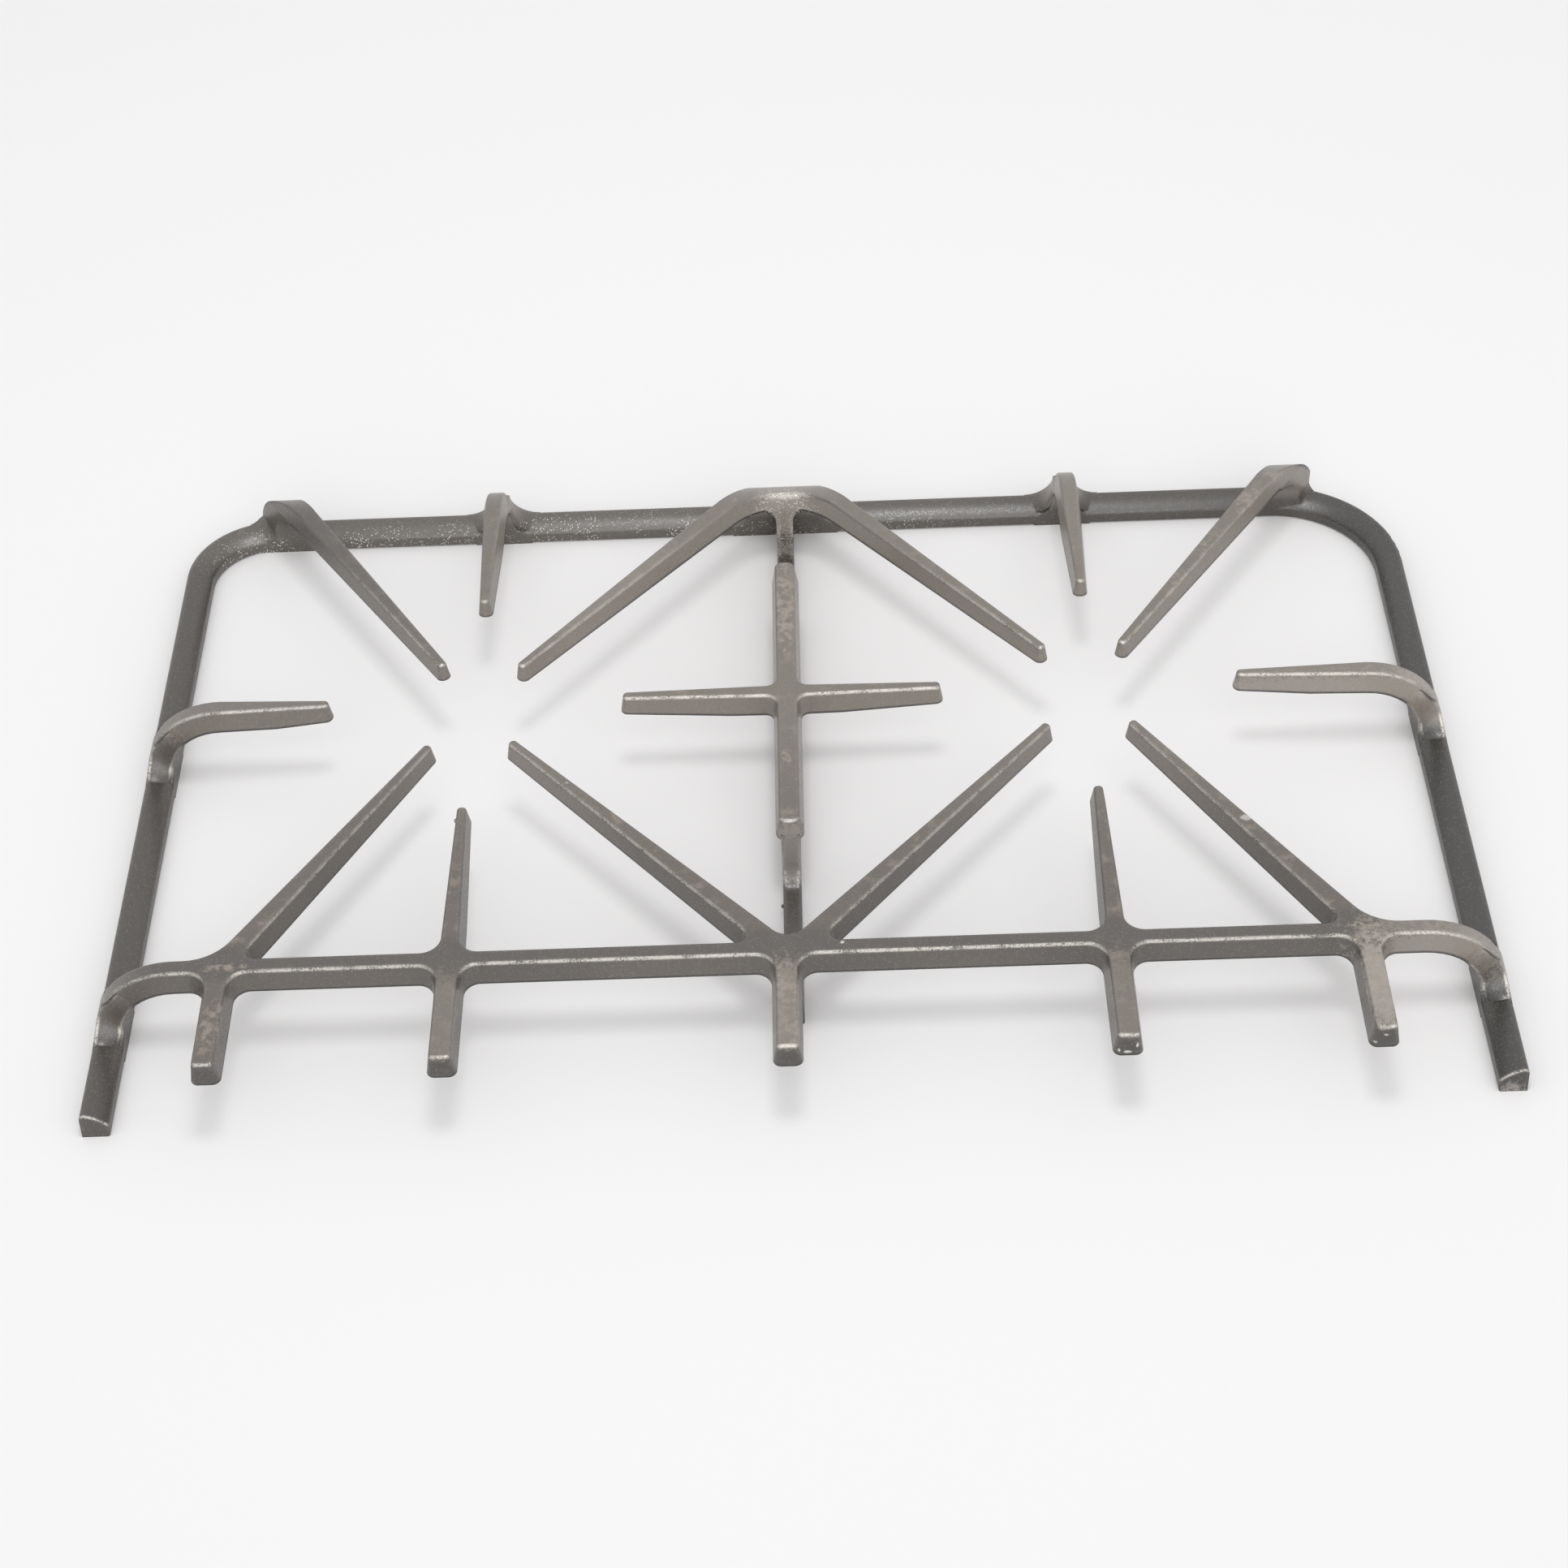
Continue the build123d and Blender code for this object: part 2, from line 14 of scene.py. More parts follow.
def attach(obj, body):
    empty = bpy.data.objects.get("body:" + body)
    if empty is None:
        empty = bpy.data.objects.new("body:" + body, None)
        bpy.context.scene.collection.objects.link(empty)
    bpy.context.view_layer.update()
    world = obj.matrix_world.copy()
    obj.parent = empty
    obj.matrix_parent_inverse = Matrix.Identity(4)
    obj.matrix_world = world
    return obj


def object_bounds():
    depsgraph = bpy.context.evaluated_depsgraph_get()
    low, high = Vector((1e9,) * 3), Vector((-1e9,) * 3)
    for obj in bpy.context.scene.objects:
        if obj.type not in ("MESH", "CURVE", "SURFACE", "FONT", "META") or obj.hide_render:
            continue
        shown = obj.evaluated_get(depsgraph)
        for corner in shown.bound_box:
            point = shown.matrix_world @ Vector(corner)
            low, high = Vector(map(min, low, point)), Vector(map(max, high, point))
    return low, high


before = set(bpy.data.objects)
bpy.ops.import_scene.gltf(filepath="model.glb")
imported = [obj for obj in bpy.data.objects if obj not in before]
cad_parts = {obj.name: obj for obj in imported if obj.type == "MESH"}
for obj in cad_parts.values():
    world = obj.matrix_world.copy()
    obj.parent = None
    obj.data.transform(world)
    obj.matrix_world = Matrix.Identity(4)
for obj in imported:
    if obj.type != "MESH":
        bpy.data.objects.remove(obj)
CAD_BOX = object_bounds()
LOG = logging.getLogger("pan_support")
MM = 0.001
# Outer sides of the rail, in millimetres
LEFT_MM = CAD_BOX[0][0] / MM
RIGHT_MM = CAD_BOX[1][0] / MM
BACK_MM = CAD_BOX[1][1] / MM
# Where a mask starts, and where it is full
Band = tuple[float, float]
# Sockets of the Mix node that share their names with others
MIX_VALUES = (2, 3)
MIX_COLOURS = (6, 7)
MIX_COLOUR_OUT = 2


def linear(hex_colour: str) -> tuple[float, float, float, float]:
    """Turns an sRGB hex colour to linear RGBA.

    Args:
        hex_colour: Six hex digits.

    Returns:
        Linear red, green, blue and an alpha of 1.
    """
    parts = [int(hex_colour[i:i + 2], 16) / 255 for i in (0, 2, 4)]
    red, green, blue = [c / 12.92 if c <= 0.04045 else ((c + 0.055) / 1.055) ** 2.4 for c in parts]
    return (red, green, blue, 1.0)


def add_node(tree: bpy.types.NodeTree, kind: str, inputs: dict[Any, Any] | None = None,
             **settings: Any) -> bpy.types.Node:
    """Adds one node with its settings, values and links.

    Args:
        tree: The node tree.
        kind: Node type, without the ShaderNode prefix.
        inputs: Input name or number to a value, or to the socket that feeds it.
        settings: Properties of the node.

    Returns:
        The new node.
    """
    node = tree.nodes.new("ShaderNode" + kind)
    for name, value in settings.items():
        setattr(node, name, value)
    for key, value in (inputs or {}).items():
        if isinstance(value, bpy.types.NodeSocket):
            tree.links.new(value, node.inputs[key])
        else:
            node.inputs[key].default_value = value
    return node


class MarkKind(Enum):
    """What a mark on the casting is."""

    CHIP = "chip"
    TAN = "tan"
    PALE = "pale"
    BARE = "bare"


@dataclass(frozen=True)
class Mark:
    """One mark on the surface: its kind, centre and half sizes in millimetres, and strength."""

    kind: MarkKind
    centre: tuple[float, float, float]
    size: tuple[float, float, float]
    strength: float = 1.0


@dataclass(frozen=True)
class CastIron:
    """Sand-cast iron with a thin matt grey enamel, rubbed along its edges.

    The sand leaves a fine grain with painted glints, the enamel is warm grey and thins at the edges, which
    carry a painted highlight.
    """

    side: str = "544e48"
    side_dark: str = "49433e"
    top: str = "5c534c"
    paler_tone: str = "81766c"
    rail: str = "3d3833"
    # light bare iron at the front-facing edges, also a painted highlight
    edge: str = "d8d4cd"
    # painted shade on back- and left-facing top edges and under the raised bars
    seam: str = "1c1a18"
    # painted glints
    glint: str = "e0ddd6"
    chip: str = "c9c5be"
    tan: str = "968b81"
    pale: str = "7d756d"
    bare: str = "9c958d"
    # painted shade in hollow corners and on the stubs' end faces; it also darkens the right rail
    painted_shade: str = "26231f"
    # Sizes of the patterns and of the edges' reach
    grain_mm: float = 0.55
    glint_mm: float = 0.75
    glint_patch_mm: float = 9.0
    wobble_mm: float = 1.4
    scuff_mm: float = 3.2
    mottle_mm: float = 7.0
    drift_mm: float = 70.0
    edge_mm: float = 1.3
    thin_mm: float = 1.5
    hollow_shade_mm: float = 5.0
    lump_mm: float = 0.6
    # Bands of the patterns
    drift_band: Band = (0.35, 0.68)
    rub_band: Band = (0.52, 0.74)
    scuff_band: Band = (0.42, 0.62)
    wear_highlight_band: Band = (0.75, 1.05)
    glint_core: Band = (0.42, 0.22)
    glint_chosen: Band = (0.5, 0.7)
    glint_patches: Band = (0.42, 0.6)
    speck_band: Band = (0.3, 0.75)
    grit_band: Band = (0.3, 0.7)
    # Bands of the surface's direction and of how closed in or thin it is
    upward: Band = (0.72, 0.96)
    forward: Band = (-0.1, -0.45)
    lifted: Band = (0.2, 0.45)
    backward: Band = (0.05, 0.4)
    leftward: Band = (-0.3, -0.6)
    closed_in: Band = (0.99, 0.5)
    edge_band: Band = (0.98, 0.89)
    sharp_band: Band = (0.92, 0.65)
    # How strongly each layer is laid
    top_share: float = 0.85
    pale_share: float = 0.9
    pale_lost_on_top: float = 0.35
    back_share: float = 0.25
    dim_share: float = 0.9
    stub_end_shade_share: float = 0.7
    right_rail_share: float = 0.85
    hollow_shade_share: float = 0.3
    hollow_shade_above_share: float = 0.45
    least_wear_highlight: float = 0.06
    wear_highlight_share: float = 0.75
    back_edge_shade_share: float = 0.55
    under_shade_share: float = 0.85
    least_glint: float = 0.1
    # Grain, gloss and relief
    speck: tuple[float, float] = (0.9, 1.1)
    roughness: float = 0.36
    grit: tuple[float, float] = (0.1, -0.14)
    worn_roughness: float = 0.4
    worn_metal: float = 0.9
    ior: float = 1.8
    grain_lump: float = 0.05
    mottle_lump: float = 0.2
    lump_strength: float = 0.55


@dataclass(frozen=True)
class Zones:
    """Where the finish changes on the casting, in millimetres."""

    # Heights
    rail: Band = (13.8, 7.8)
    pan_top: Band = (28.5, 33.5)
    above_rail: Band = (6.0, 9.0)
    raised_corners: Band = (18.0, 24.0)
    under_shade_floor: Band = (18.0, 22.0)
    under_shade_ceiling: Band = (30.0, 27.0)
    grainy_slope: Band = (9.5, 5.5)
    # Across, from the left to the right
    middle: Band = (-200.0, -90.0)
    pale_back: Band = (140.0, -20.0)
    grainy_back: Band = (160.0, -60.0)
    right_rail: Band = (200.0, 215.0)
    elbows: Band = (203.0, 208.0)
    # Along, from the front to the back
    stub_ends: Band = (-148.6, -149.6)
    rail_ends: Band = (-145.5, -147.0)
    behind_ends: Band = (-140.0, -130.0)
    bar_front: Band = (-116.0, -112.0)
    bar_back: Band = (-96.0, -101.0)
    burners: Band = (-85.0, 10.0)
    worn_highlight_front: Band = (125.0, 40.0)
    back_rail: Band = (118.0, 136.0)


@dataclass
class Shade:
    """The colour and masks of a surface, built up layer by layer in one material."""

    tree: bpy.types.NodeTree
    coords: bpy.types.NodeSocket = field(init=False)
    split: bpy.types.Node = field(init=False)
    colour: Any = None
    wobble_share: float = 1.6
    spot_band: Band = (1.85, 1.45)

    def __post_init__(self) -> None:
        """Adds the coordinates that every layer reads."""
        self.coords = add_node(self.tree, "TexCoord").outputs["Object"]
        self.split = add_node(self.tree, "SeparateXYZ", {0: self.coords})

    def noise(self, size_mm: float, detail: float = 3.0, rough: float = 0.55) -> Any:
        """Noise whose lumps are about a size in millimetres.

        Args:
            size_mm: Lump size.
            detail: Octaves.
            rough: Share of each finer octave.

        Returns:
            The noise value's socket.
        """
        made = add_node(self.tree, "TexNoise", {"Vector": self.coords, "Scale": 1 / (size_mm * MM),
                        "Detail": detail, "Roughness": rough})
        return made.outputs["Factor" if "Factor" in made.outputs else "Fac"]

    def ramp(self, value: Any, band: Band) -> Any:
        """Smooth step of a value over a band.

        Args:
            value: Socket to read.
            band: Value that gives 0, and value that gives 1.

        Returns:
            The stepped value's socket.
        """
        step = add_node(self.tree, "MapRange", {"Value": value, "From Min": band[0], "From Max": band[1]},
                        interpolation_type="SMOOTHSTEP")
        return step.outputs["Result"]

    def zone(self, axis: str, band_mm: Band, mirrored: bool = False) -> Any:
        """Mask that fills over a band of the casting.

        Args:
            axis: X, Y or Z.
            band_mm: Where the mask starts and where it is full, in millimetres.
            mirrored: Whether it is the same on both sides of the origin.

        Returns:
            The mask's socket.
        """
        place = self.split.outputs[axis]
        if mirrored:
            place = self.math("ABSOLUTE", place)
        return self.ramp(place, (band_mm[0] * MM, band_mm[1] * MM))

    def math(self, operation: str, first: Any, second: Any = 0.0) -> Any:
        """One sum on two values, each a socket or a number."""
        return add_node(self.tree, "Math", {0: first, 1: second}, operation=operation).outputs[0]

    def times(self, first: Any, *others: Any) -> Any:
        """Product of values, each a socket or a number."""
        for other in others:
            first = self.math("MULTIPLY", first, other)
        return first

    def most(self, first: Any, *others: Any) -> Any:
        """Largest of values, each a socket or a number."""
        for other in others:
            first = self.math("MAXIMUM", first, other)
        return first

    def rest(self, value: Any) -> Any:
        """What a mask leaves free."""
        return self.math("SUBTRACT", 1.0, value)

    def at_least(self, floor: float, mask: Any) -> Any:
        """Mask that runs from a floor, in place of 0, to 1."""
        return self.math("ADD", self.times(mask, 1 - floor), floor)

    def mix(self, factor: Any, first: Any, second: Any, blend: str = "MIX") -> Any:
        """Mixes two colours.

        Args:
            factor: Share of the second colour, a socket or a number.
            first: Socket or linear RGBA.
            second: Socket or linear RGBA.
            blend: How they are mixed.

        Returns:
            The mixed colour's socket.
        """
        made = add_node(self.tree, "Mix", {"Factor": factor, MIX_COLOURS[0]: first, MIX_COLOURS[1]: second},
                        data_type="RGBA", blend_type=blend)
        return made.outputs[MIX_COLOUR_OUT]

    def paint(self, colour: str, mask: Any) -> None:
        """Lays a colour over what is there, through a mask."""
        self.colour = self.mix(mask, self.colour, linear(colour))

    def spot(self, mark: Mark, wobble: Any) -> Any:
        """Mask of one mark, with an uneven outline.

        Args:
            mark: The mark.
            wobble: Noise value that breaks up its outline.

        Returns:
            The mask's socket.
        """
        place = [c * MM for c in mark.centre]
        scale = [1 / (s * MM) for s in mark.size]
        away = add_node(self.tree, "VectorMath", {0: self.coords, 1: place}, operation="SUBTRACT")
        sized = add_node(self.tree, "VectorMath", {0: away.outputs[0], 1: scale}, operation="MULTIPLY")
        length = add_node(self.tree, "VectorMath", {0: sized.outputs[0]}, operation="LENGTH")
        uneven = self.math("ADD", length.outputs["Value"], self.times(wobble, self.wobble_share))
        return self.times(self.ramp(uneven, self.spot_band), mark.strength)


@dataclass
class Enamel:
    """Warm grey enamel on cast iron, with sand grain, rubbed edges and marks, and painted highlights, glints
    and shade, laid layer by layer.
    """

    finish: CastIron
    marks: tuple[Mark, ...]
    web_shine: Mark
    glint_patch: Mark
    zones: Zones = field(default_factory=Zones)
    shade: Shade = field(init=False)
    soft: Any = field(init=False)
    facing: bpy.types.Node = field(init=False)
    grain: Any = field(init=False)
    mottle: Any = field(init=False)
    wobble: Any = field(init=False)
    low: Any = field(init=False)
    raised: Any = field(init=False)
    top: Any = field(init=False)
    back: Any = field(init=False)
    web: Any = field(init=False)
    thin: Any = field(init=False)
    edges: Any = field(init=False)
    worn_highlight: Any = field(init=False)

    def build(self) -> bpy.types.Material:
        """Makes the material.

        Returns:
            The material.
        """
        material = bpy.data.materials.new("enamelled_cast_iron")
        material.use_nodes = True
        material.node_tree.nodes.clear()
        self.shade = Shade(material.node_tree)
        self.read_surface()
        self.coat()
        self.paler_tone()
        self.darken()
        self.scuff()
        self.paint_hollow_shade()
        self.wear_and_highlight_edges()
        self.paint_edge_shade()
        self.strew_glints()
        self.chip()
        self.set_surface()
        LOG.info("made %s, %d nodes", material.name, len(material.node_tree.nodes))
        return material

    def read_surface(self) -> None:
        """Reads the rounded normal, the patterns and the main zones that several layers share."""
        finish, zones, shade = self.finish, self.zones, self.shade
        bevel = add_node(shade.tree, "Bevel", {"Radius": finish.edge_mm * MM}, samples=6)
        self.soft = bevel.outputs[0]
        self.facing = add_node(shade.tree, "SeparateXYZ", {0: self.soft})
        self.grain = shade.noise(finish.grain_mm, 2.0)
        self.mottle = shade.noise(finish.mottle_mm, 4.0, 0.6)
        self.wobble = shade.noise(finish.wobble_mm, 3.0, 0.7)
        self.low = shade.zone("Z", zones.rail)
        self.raised = shade.zone("Z", zones.pan_top)
        self.top = shade.times(shade.ramp(self.facing.outputs["Z"], finish.upward), self.raised)
        self.back = shade.zone("Y", zones.back_rail)
        self.web = shade.spot(self.web_shine, self.grain)

    def coat(self) -> None:
        """Lays the grey that drifts along the bars, darker on the rail and lighter on the tops."""
        finish, shade = self.finish, self.shade
        drift = shade.ramp(shade.noise(finish.drift_mm, 2.0), finish.drift_band)
        shade.colour = shade.mix(drift, linear(finish.side), linear(finish.side_dark))
        shade.paint(finish.rail, self.low)
        shade.paint(finish.top, shade.times(self.top, finish.top_share))
        shade.paint(finish.paler_tone, shade.times(self.top, shade.ramp(self.mottle, finish.rub_band)))

    def paler_tone(self) -> None:
        """Paints the middle and the back paler than the front bar and the left end, less on the tops, and the
        back rail's left part a little paler.
        """
        finish, zones, shade = self.finish, self.zones, self.shade
        paler_zone = shade.times(shade.zone("X", zones.middle), shade.zone("Y", zones.burners))
        paler_zone = shade.times(paler_zone, shade.rest(self.low))
        share = shade.math("SUBTRACT", finish.pale_share, shade.times(self.top, finish.pale_lost_on_top))
        shade.paint(finish.pale, shade.times(paler_zone, share))
        fade = shade.times(shade.zone("X", zones.pale_back), finish.back_share)
        shade.paint(finish.pale, shade.times(self.back, self.low, fade))

    def darken(self) -> None:
        """Darkens the tops of the front bar and of the left end, and the right rail, and paints shade on the
        stubs' end faces.
        """
        finish, zones, shade = self.finish, self.zones, self.shade
        bar = shade.times(shade.zone("Y", zones.bar_back), shade.zone("Y", zones.bar_front))
        left = shade.times(shade.rest(shade.zone("X", zones.middle)), shade.zone("Y", zones.burners))
        shade.paint(finish.side_dark, shade.times(shade.most(bar, left), self.top, finish.dim_share))
        # painted shade on the stubs' end faces
        shade.paint(finish.painted_shade, shade.times(shade.zone("Y", zones.stub_ends), finish.stub_end_shade_share))
        right = shade.times(shade.zone("X", zones.right_rail), self.low)
        shade.paint(finish.painted_shade, shade.times(right, finish.right_rail_share))

    def scuff(self) -> None:
        """Lays the single pale and bare patches, one of them with a painted sheen down the cross's leg, and
        the tan scuffs, which are broken up.
        """
        finish, shade = self.finish, self.shade
        broken = shade.ramp(shade.noise(finish.scuff_mm, 4.0, 0.65), finish.scuff_band)
        tints = {MarkKind.TAN: finish.tan, MarkKind.PALE: finish.pale, MarkKind.BARE: finish.bare}
        for mark in self.marks:
            if mark.kind in tints:
                mask = shade.spot(mark, self.wobble)
                if mark.kind is MarkKind.TAN:
                    mask = shade.times(mask, broken)
                shade.paint(tints[mark.kind], mask)

    def paint_hollow_shade(self) -> None:
        """Paints shade into hollow corners, most of all between the raised bars."""
        finish, shade = self.finish, self.shade
        deep = add_node(shade.tree, "AmbientOcclusion", {"Distance": finish.hollow_shade_mm * MM}, samples=8,
                        only_local=True)
        above = shade.times(shade.zone("Z", self.zones.raised_corners), finish.hollow_shade_above_share)
        share = shade.math("ADD", finish.hollow_shade_share, above)
        # painted shade in the hollows, from ambient occlusion
        shade.paint(finish.painted_shade, shade.times(shade.ramp(deep.outputs["AO"], finish.closed_in), share))

    def wear_and_highlight_edges(self) -> None:
        """Lightens the edges that face the front and makes them metallic: the enamel rubbed through to bare
        iron between the grains, with a painted highlight along these edges.
        """
        finish, zones, shade = self.finish, self.zones, self.shade
        inner = add_node(shade.tree, "AmbientOcclusion", {"Distance": finish.thin_mm * MM}, samples=8,
                         only_local=True, inside=True)
        self.thin = inner.outputs["AO"]
        self.edges = shade.ramp(self.thin, finish.edge_band)
        bared_and_lit = shade.most(shade.zone("Z", zones.above_rail), self.web, shade.zone("Y", zones.rail_ends))
        elbow = shade.times(shade.zone("X", zones.elbows, mirrored=True), shade.zone("Y", zones.behind_ends))
        sideways = shade.times(shade.math("ABSOLUTE", self.facing.outputs["X"]), elbow)
        lifted = shade.ramp(shade.most(self.facing.outputs["Z"], sideways), finish.lifted)
        forward = shade.ramp(self.facing.outputs["Y"], finish.forward)
        front = shade.times(forward, shade.zone("Y", zones.worn_highlight_front), lifted)
        front = shade.most(shade.at_least(finish.least_wear_highlight, front), self.web)
        patchy = shade.ramp(shade.math("ADD", self.grain, self.mottle), finish.wear_highlight_band)
        self.worn_highlight = shade.times(self.edges, bared_and_lit, front, patchy)
        # painted highlight, with the wear, on the front-facing edges
        shade.paint(finish.edge, shade.times(self.worn_highlight, finish.wear_highlight_share))

    def paint_edge_shade(self) -> None:
        """Paints shade on the top edges that face the back and the left, and along the lower edges of the
        raised bars.
        """
        finish, zones, shade = self.finish, self.zones, self.shade
        back_edge_shade = shade.most(shade.ramp(self.facing.outputs["Y"], finish.backward),
                          shade.ramp(self.facing.outputs["X"], finish.leftward))
        back_edge_shade = shade.times(self.edges, back_edge_shade, self.raised, finish.back_edge_shade_share)
        # painted shade on the top edges that face the back and the left
        shade.paint(finish.seam, shade.times(back_edge_shade, shade.rest(self.worn_highlight)))
        # painted shade along the lower edges of the raised bars
        under = shade.times(shade.zone("Z", zones.under_shade_floor), shade.zone("Z", zones.under_shade_ceiling))
        sharp = shade.ramp(self.thin, finish.sharp_band)
        shade.paint(finish.seam, shade.times(sharp, under, finish.under_shade_share))

    def strew_glints(self) -> None:
        """Paints glints, single bright specks of painted highlight, on the back rail and under the back V."""
        finish, zones, shade = self.finish, self.zones, self.shade
        cell = add_node(shade.tree, "TexVoronoi", {"Vector": shade.coords,
                        "Scale": 1 / (finish.glint_mm * MM)})
        chosen = add_node(shade.tree, "SeparateColor", {0: cell.outputs["Color"]})
        bright = shade.times(shade.ramp(cell.outputs["Distance"], finish.glint_core),
                             shade.ramp(chosen.outputs[0], finish.glint_chosen))
        patches = shade.ramp(shade.noise(finish.glint_patch_mm, 2.0), finish.glint_patches)
        slope = shade.times(shade.zone("Z", zones.grainy_slope), shade.zone("X", zones.grainy_back))
        strewn = shade.most(shade.times(self.back, patches, slope), self.web,
                            shade.spot(self.glint_patch, self.mottle))
        # painted glints
        shade.paint(finish.glint, shade.times(bright, shade.at_least(finish.least_glint, strewn)))

    def chip(self) -> None:
        """Lays the chips, which go through every layer."""
        for mark in self.marks:
            if mark.kind is MarkKind.CHIP:
                self.shade.paint(self.finish.chip, self.shade.spot(mark, self.wobble))

    def set_surface(self) -> None:
        """Adds the sand grain, the gloss and the relief, and joins them to the output."""
        finish, shade = self.finish, self.shade
        tree = shade.tree
        dark, light = [(value, value, value, 1.0) for value in finish.speck]
        speck = shade.mix(shade.ramp(self.grain, finish.speck_band), dark, light)
        grained = shade.mix(1.0, shade.colour, speck, "MULTIPLY")
        grit = add_node(tree, "MapRange", {"Value": self.grain, "From Min": finish.grit_band[0],
                        "From Max": finish.grit_band[1], "To Min": finish.roughness + finish.grit[0],
                        "To Max": finish.roughness + finish.grit[1]})
        rough = add_node(tree, "Mix", {"Factor": self.worn_highlight, MIX_VALUES[0]: grit.outputs[0],
                         MIX_VALUES[1]: finish.worn_roughness})
        lumps = shade.math("ADD", shade.times(self.grain, finish.grain_lump),
                           shade.times(self.mottle, finish.mottle_lump))
        bump = add_node(tree, "Bump", {"Strength": finish.lump_strength, "Distance": finish.lump_mm * MM,
                        "Height": lumps, "Normal": self.soft})
        surface = add_node(tree, "BsdfPrincipled", {"Base Color": grained, "Roughness": rough.outputs[0],
                           "Metallic": shade.times(self.worn_highlight, finish.worn_metal), "IOR": finish.ior,
                           "Normal": bump.outputs[0]})
        add_node(tree, "OutputMaterial", {"Surface": surface.outputs[0]})


def share_of(value: float) -> float:
    """Value held between 0 and 1."""
    return min(max(value, 0.0), 1.0)


@dataclass(frozen=True)
class Flare:
    """Cast fillet at the foot of an elbow: its place on the rail's outer side and its sizes, in millimetres.

    It lies over the solid's own foot, follows the elbow's curve and fades into the bar's sides.
    """

    name: str
    outer: tuple[float, float]
    outward: tuple[float, float]
    half_width: float = 4.5
    spread: float = 10.0
    rise: float = 9.5
    elbow_radius: float = 30.0
    bar_height: float = 8.5
    draft_inset: float = 1.42
    rail_width: float = 9.4
    rail_heights: tuple[float, float] = (8.8, 4.6)
    rail_crown: float = 0.9
    edge_radius: float = 1.4
    pan_height: float = 34.5
    crest: float = 13.0
    fade: float = 5.0
    early_fade: float = 0.3
    skin: float = 0.1
    sink: float = 0.5
    bury: float = 1.0
    root: float = 2.6
    crease_deg: float = 40.0

    def climb(self, z: float) -> float:
        """Height above the middle of the elbow's curve."""
        return z - (self.pan_height - self.elbow_radius)

    def reach(self, radius: float, z: float) -> float:
        """Distance from the rail's outer side in to a circle of the elbow, at a height."""
        return self.elbow_radius - math.sqrt(max(radius ** 2 - self.climb(z) ** 2, 0.0))

    def depth(self, share: float, z: float) -> float:
        """Distance in from the rail's outer side, for a share from the outer side to the inner side."""
        lift = share_of((z - self.rail_heights[1]) / self.rail_heights[1])
        faded = share_of((z - self.rail_heights[0] - self.crest) / self.fade + self.early_fade)
        near = self.reach(self.elbow_radius, z) + self.skin / 4 + self.edge_radius * faded
        far = max(self.reach(self.elbow_radius - self.bar_height, z), self.rail_width) - self.skin
        far -= self.edge_radius * (1 - lift)
        return near + (far - near) * share

    def foot_half(self, inward: float) -> float:
        """Half the width of the foot at a depth, with its skin."""
        return self.half_width - self.draft_inset * max(1 - inward / self.rail_width, 0.0) + self.skin

    def bar_half(self, inward: float, z: float) -> float:
        """Half the width of the elbow's drafted bar at a depth and height, inside its skin."""
        radius = math.hypot(self.elbow_radius - inward, self.climb(z))
        share = share_of((radius - self.elbow_radius + self.bar_height) / self.bar_height)
        return self.half_width - self.draft_inset * share - 2 * self.skin

    def point(self, side: int, inward: float, across: float, z: float) -> Vector:
        """Point of the flare, in metres, from its place along the rail, across it and up."""
        x = self.outer[0] - self.outward[0] * inward - self.outward[1] * across * side
        y = self.outer[1] - self.outward[1] * inward + self.outward[0] * across * side
        return Vector((x, y, z)) * MM

    def section(self, side: int, share: float, steps: int) -> list[Vector]:
        """Outline of the flare at one depth of the rail.

        Args:
            side: Which side of the elbow, -1 or 1.
            share: 0 at the outer side, 1 at the inner side.
            steps: Steps of the hollow curve, and of the fade above it.

        Returns:
            The outline's points.
        """
        base = self.rail_heights[0] + (self.rail_heights[1] - self.rail_heights[0]) * share
        crest = base + self.crest
        base += self.rail_crown * 4 * share * (1 - share) - self.sink
        outline = [(self.half_width + self.spread, base - self.bury)]
        for step in range(steps + 1):
            turn = math.pi / 2 * step / steps
            z = base + self.rise * (1 - math.cos(turn))
            outline.append((self.foot_half(self.depth(share, z)) + self.spread * (1 - math.sin(turn)), z))
        shoulder = base + self.rise
        for step in range(1, steps + 1):
            z = shoulder + (crest + self.fade - shoulder) * step / steps
            inward = self.depth(share, z)
            foot = self.foot_half(inward)
            part = share_of((z - crest) / self.fade)
            part = part * part * (3 - 2 * part)
            outline.append((foot + (self.bar_half(inward, z) - foot) * part, z))
        outline += [(self.half_width - self.root, z) for _, z in reversed(outline)]
        return [self.point(side, self.depth(share, z), across, z) for across, z in outline]

    def mesh(self, depth_steps: int = 10, steps: int = 14) -> bmesh.types.BMesh:
        """Makes both halves of the flare.

        Args:
            depth_steps: Steps across the rail.
            steps: Steps of the hollow curve.

        Returns:
            The mesh.
        """
        made = bmesh.new()
        for side in (-1, 1):
            rows = []
            for row in range(depth_steps + 1):
                rows.append([made.verts.new(p) for p in self.section(side, row / depth_steps, steps)])
            for first, second in zip(rows, rows[1:]):
                for step in range(-1, len(first) - 1):
                    made.faces.new((first[step], first[step + 1], second[step + 1], second[step]))
            made.faces.new(rows[0][::-1])
            made.faces.new(rows[-1])
        bmesh.ops.recalc_face_normals(made, faces=made.faces)
        for edge in made.edges:
            edge.smooth = edge.calc_face_angle() < math.radians(self.crease_deg)
        return made


